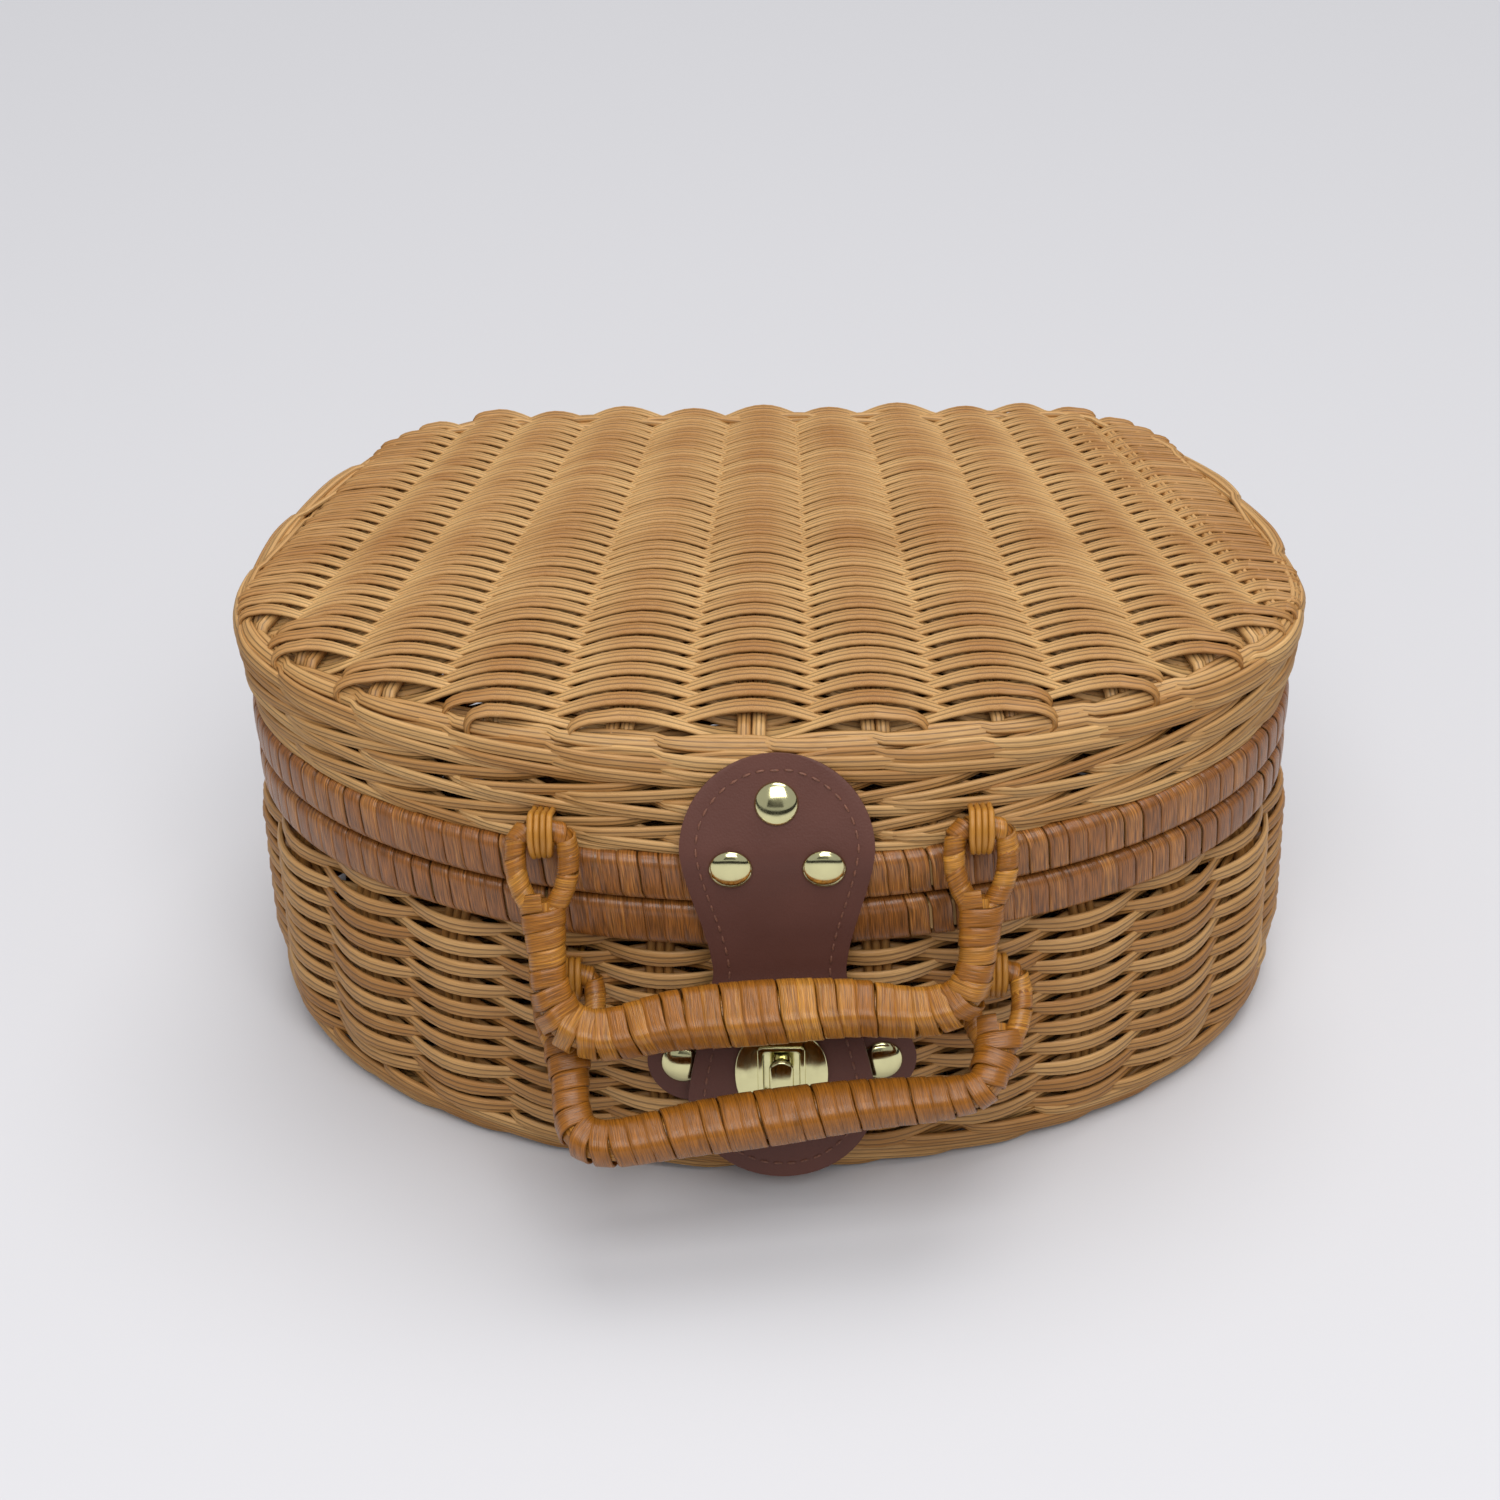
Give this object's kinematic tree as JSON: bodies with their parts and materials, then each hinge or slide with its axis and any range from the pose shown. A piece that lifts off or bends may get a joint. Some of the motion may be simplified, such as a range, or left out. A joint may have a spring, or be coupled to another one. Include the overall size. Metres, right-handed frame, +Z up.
{
  "type": "wicker suitcase basket",
  "caption": "Half-round woven wicker hamper with a hinged lid, wrapped rims, carry handles on lid and base, and a leather strap with a turn lock.",
  "frame": {"origin": "on the ground under the middle of the basket and its handles at rest", "axes": "+Z up, +X to the right seen from the front, -Y out of the front with the strap"},
  "size_m": [0.321, 0.245, 0.1483],
  "materials": {
    "weave": "woven split willow, satin lacquer",
    "strip": "flat cane strip, glossy honey lacquer",
    "cane": "bare cane",
    "tie": "split cane, lacquered",
    "leather": "dark brown, fine grain, satin",
    "brass": "pale, polished",
    "steel": "plain"
  },
  "bodies": {
    "base": {"lower_handle_tie_left": "tie", "lower_handle_tie_right": "tie", "patch_rivet_left": "brass", "patch_rivet_back_left": "steel", "patch_rivet_right": "brass", "patch_rivet_back_right": "steel", "leather_patch": "leather", "lock_base_plate": "steel", "lock_washer": "steel", "base_floor": "weave", "foot_border": "weave", "base_wall": "weave", "base_rim_outer_hoop": "cane", "base_rim_inner_hoop": "cane", "base_rim_strip": "strip", "hinge_binding_base_left": "strip", "hinge_binding_base_right": "strip"},
    "lid": {"upper_handle_tie_left": "tie", "upper_handle_tie_right": "tie", "strap_rivet_top": "brass", "strap_rivet_left": "brass", "strap_rivet_right": "brass", "strap": "leather", "lid_wall": "weave", "lid_top_border": "weave", "lid_top": "weave", "lid_rim_outer_hoop": "cane", "lid_rim_inner_hoop": "cane", "lid_rim_strip": "strip", "hinge_binding_lid_left": "strip", "hinge_binding_lid_right": "strip"},
    "strap_flap": {"strap_flap": "leather", "lock_face_plate": "brass", "lock_face_backing": "steel"},
    "turn_knob": {"turn_knob": "brass"},
    "upper_handle": {"upper_handle_core": "cane", "upper_handle_wrap": "strip", "upper_handle_eye_left": "strip", "upper_handle_eye_right": "strip"},
    "lower_handle": {"lower_handle_core": "cane", "lower_handle_wrap": "strip", "lower_handle_eye_left": "strip", "lower_handle_eye_right": "strip"}
  },
  "joints": [
    {"name": "lid", "type": "hinge", "parent": "base", "child": "lid", "pos_m": [0, 0.12259, 0.098], "axis": [-1, 0, 0], "range_deg": [0, 105]},
    {"name": "strap_flap", "type": "hinge", "parent": "lid", "child": "strap_flap", "pos_m": [0.0035, -0.07671, 0.098], "axis": [-1, 0, 0], "range_deg": [0, 11]},
    {"name": "turn_knob", "type": "hinge", "parent": "base", "child": "turn_knob", "pos_m": [0.0035, -0.08135, 0.0445], "axis": [0, 0.9748, -0.2231], "range_deg": [0, 90]},
    {"name": "upper_handle", "type": "hinge", "parent": "lid", "child": "upper_handle", "pos_m": [-0.001, -0.07101, 0.1235], "axis": [-1, 0, 0], "range_deg": [0, 100]},
    {"name": "lower_handle", "type": "hinge", "parent": "base", "child": "lower_handle", "pos_m": [0.004, -0.07351, 0.072], "axis": [-1, 0, 0], "range_deg": [0, 65]}
  ],
  "couplings": [
    {"joint": "lower_handle", "follows": "upper_handle", "ratio": 0.65}
  ]
}
